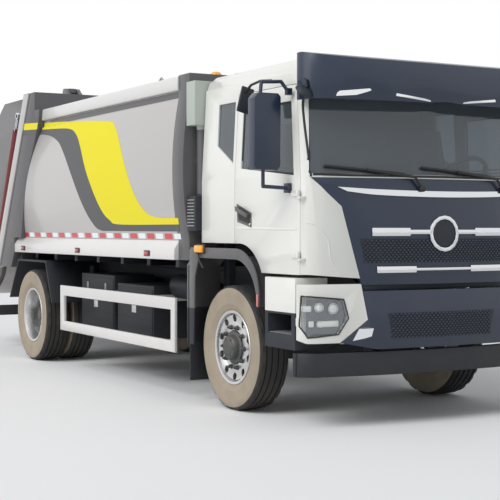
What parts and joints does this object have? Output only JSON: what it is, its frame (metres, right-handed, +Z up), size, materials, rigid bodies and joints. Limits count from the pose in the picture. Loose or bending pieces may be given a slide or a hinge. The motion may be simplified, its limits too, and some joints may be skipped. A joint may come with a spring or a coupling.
{
  "type": "rear-loading refuse truck",
  "caption": "Rear-loading refuse truck with a tilting cab, curved-side body, lifting tailgate, packer and bin lifter.",
  "frame": {"origin": "on the ground, on the centre line, half-way between the foremost and rearmost points", "axes": "+X forward, +Y to the truck's left, +Z up"},
  "size_m": [8.82, 2.964, 3.09],
  "materials": {
    "body_grey": "semi-gloss silver-grey paint",
    "post_grey": "semi-gloss dark grey paint",
    "trim_white": "semi-gloss white paint",
    "cab_white": "glossy ivory paint",
    "front_dark": "satin dark plastic",
    "chassis_black": "satin black paint",
    "machine_steel": "worn grey paint",
    "filter_grey": "matt grey-green",
    "tyre_rubber": "dusty rubber",
    "wheel_silver": "silver paint",
    "bright": "polished",
    "lamp": "clear lens",
    "tail_red": "red lens",
    "window": "tinted",
    "interior_grey": "matt",
    "seat_cloth": "woven",
    "cylinder_red": "semi-gloss dark red paint",
    "rod_chrome": "polished"
  },
  "bodies": {
    "chassis": {"chassis_frame": "chassis_black", "front_axle": "chassis_black", "rear_axle": "chassis_black", "leaf_springs": "chassis_black", "engine_and_gearbox": "chassis_black", "propshaft": "chassis_black", "body_floor": "body_grey", "body_sides": "body_grey", "body_rear_frame": "post_grey", "portal_flange": "trim_white", "body_front_frame": "post_grey", "body_side_rails": "trim_white", "body_roof": "trim_white", "front_bumper": "front_dark", "headlamp_blocks": "cab_white", "headlamps": "lamp", "under_run_bars": "chassis_black", "front_fenders": "post_grey", "rear_fenders": "chassis_black", "cab_steps": "cab_white", "side_guards": "trim_white", "side_boxes": "chassis_black", "air_intake": "filter_grey"},
    "knuckle_right": {"knuckle_right": "chassis_black"},
    "knuckle_left": {"knuckle_left": "chassis_black"},
    "tie_rod": {"tie_rod": "chassis_black"},
    "front_wheel_right": {"front_tyre_right": "tyre_rubber", "front_wheel_right": "wheel_silver"},
    "front_wheel_left": {"front_tyre_left": "tyre_rubber", "front_wheel_left": "wheel_silver"},
    "rear_wheel_right": {"rear_tyres_right": "tyre_rubber", "rear_wheels_right": "wheel_silver"},
    "rear_wheel_left": {"rear_tyres_left": "tyre_rubber", "rear_wheels_left": "wheel_silver"},
    "cab": {"cab_shell": "cab_white", "grille_panel": "front_dark", "cab_windows": "window", "cab_interior": "interior_grey", "seats": "seat_cloth", "sun_visor": "front_dark", "grille_bars": "bright"},
    "door_right": {"door_right": "cab_white", "door_glass_right": "window", "mirror_right": "front_dark"},
    "door_left": {"door_left": "cab_white", "door_glass_left": "window", "mirror_left": "front_dark"},
    "ejector": {"ejector_plate": "machine_steel"},
    "tailgate": {"tailgate_sides": "body_grey", "hopper_floor": "body_grey", "tailgate_cover": "body_grey", "tail_lamps": "tail_red"},
    "packer_slide": {"packer_slide": "machine_steel"},
    "packer_blade": {"packer_blade": "machine_steel"},
    "bin_lifter": {"bin_lifter": "machine_steel"},
    "lift_barrel_right": {"lift_barrel_right": "cylinder_red"},
    "lift_barrel_left": {"lift_barrel_left": "cylinder_red"},
    "lift_rod_right": {"lift_rod_right": "rod_chrome"},
    "lift_rod_left": {"lift_rod_left": "rod_chrome"}
  },
  "joints": [
    {"name": "steer_right", "type": "hinge", "parent": "chassis", "child": "knuckle_right", "pos_m": [2.99, -0.83, 0.506], "axis": [0, 0, 1], "range_deg": [-38, 38]},
    {"name": "steer_left", "type": "hinge", "parent": "chassis", "child": "knuckle_left", "pos_m": [2.99, 0.83, 0.506], "axis": [0, 0, 1], "range_deg": [-38, 38]},
    {"name": "tie_rod_swing", "type": "hinge", "parent": "knuckle_right", "child": "tie_rod", "pos_m": [2.81, -0.83, 0.385], "axis": [0, 0, 1], "range_deg": [-38, 38]},
    {"name": "front_right_spin", "type": "hinge", "parent": "knuckle_right", "child": "front_wheel_right", "pos_m": [2.99, -0.97, 0.506], "axis": [0, 1, 0], "continuous": true},
    {"name": "front_left_spin", "type": "hinge", "parent": "knuckle_left", "child": "front_wheel_left", "pos_m": [2.99, 0.97, 0.506], "axis": [0, 1, 0], "continuous": true},
    {"name": "rear_right_spin", "type": "hinge", "parent": "chassis", "child": "rear_wheel_right", "pos_m": [-1.51, -0.93, 0.506], "axis": [0, 1, 0], "continuous": true},
    {"name": "rear_left_spin", "type": "hinge", "parent": "chassis", "child": "rear_wheel_left", "pos_m": [-1.51, 0.93, 0.506], "axis": [0, 1, 0], "continuous": true},
    {"name": "cab_tilt", "type": "hinge", "parent": "chassis", "child": "cab", "pos_m": [4.245, 0, 0.88], "axis": [0, 1, 0], "range_deg": [0, 45]},
    {"name": "door_right_swing", "type": "hinge", "parent": "cab", "child": "door_right", "pos_m": [4.1285, -1.156, 1.5], "axis": [0, 0, 1], "range_deg": [0, 70]},
    {"name": "door_left_swing", "type": "hinge", "parent": "cab", "child": "door_left", "pos_m": [4.1285, 1.156, 1.5], "axis": [0, 0, -1], "range_deg": [0, 70]},
    {"name": "ejector_slide", "type": "slide", "parent": "chassis", "child": "ejector", "axis": [-1, 0, 0], "range_m": [0, 3.3]},
    {"name": "tailgate_lift", "type": "hinge", "parent": "chassis", "child": "tailgate", "pos_m": [-1.772, 0, 3.042], "axis": [0, 1, 0], "range_deg": [0, 80]},
    {"name": "packer_slide", "type": "slide", "parent": "tailgate", "child": "packer_slide", "axis": [-0.4799, 0, -0.8773], "range_m": [0, 0.65]},
    {"name": "packer_blade_swing", "type": "hinge", "parent": "packer_slide", "child": "packer_blade", "pos_m": [-3.1981, 0, 2.07025], "axis": [0, 1, 0], "range_deg": [0, 70]},
    {"name": "bin_lifter_tip", "type": "hinge", "parent": "tailgate", "child": "bin_lifter", "pos_m": [-4.34, 0, 1.225], "axis": [0, 1, 0], "range_deg": [0, 140]},
    {"name": "lift_barrel_right_swing", "type": "hinge", "parent": "chassis", "child": "lift_barrel_right", "pos_m": [-2.88, -1.192, 1.04], "axis": [0, 1, 0], "range_deg": [-8, 0]},
    {"name": "lift_rod_right_slide", "type": "slide", "parent": "lift_barrel_right", "child": "lift_rod_right", "axis": [0.4368, 0, 0.8996], "range_m": [0, 0.44]},
    {"name": "lift_barrel_left_swing", "type": "hinge", "parent": "chassis", "child": "lift_barrel_left", "pos_m": [-2.88, 1.192, 1.04], "axis": [0, 1, 0], "range_deg": [-8, 0]},
    {"name": "lift_rod_left_slide", "type": "slide", "parent": "lift_barrel_left", "child": "lift_rod_left", "axis": [0.4368, 0, 0.8996], "range_m": [0, 0.44]}
  ],
  "couplings": [
    {"joint": "steer_left", "follows": "steer_right", "ratio": 1},
    {"joint": "tie_rod_swing", "follows": "steer_right", "ratio": -1},
    {"joint": "lift_barrel_right_swing", "follows": "tailgate_lift", "ratio": -0.09},
    {"joint": "lift_rod_right_slide", "follows": "tailgate_lift", "m_per_rad": 0.31},
    {"joint": "lift_barrel_left_swing", "follows": "tailgate_lift", "ratio": -0.09},
    {"joint": "lift_rod_left_slide", "follows": "tailgate_lift", "m_per_rad": 0.31}
  ]
}
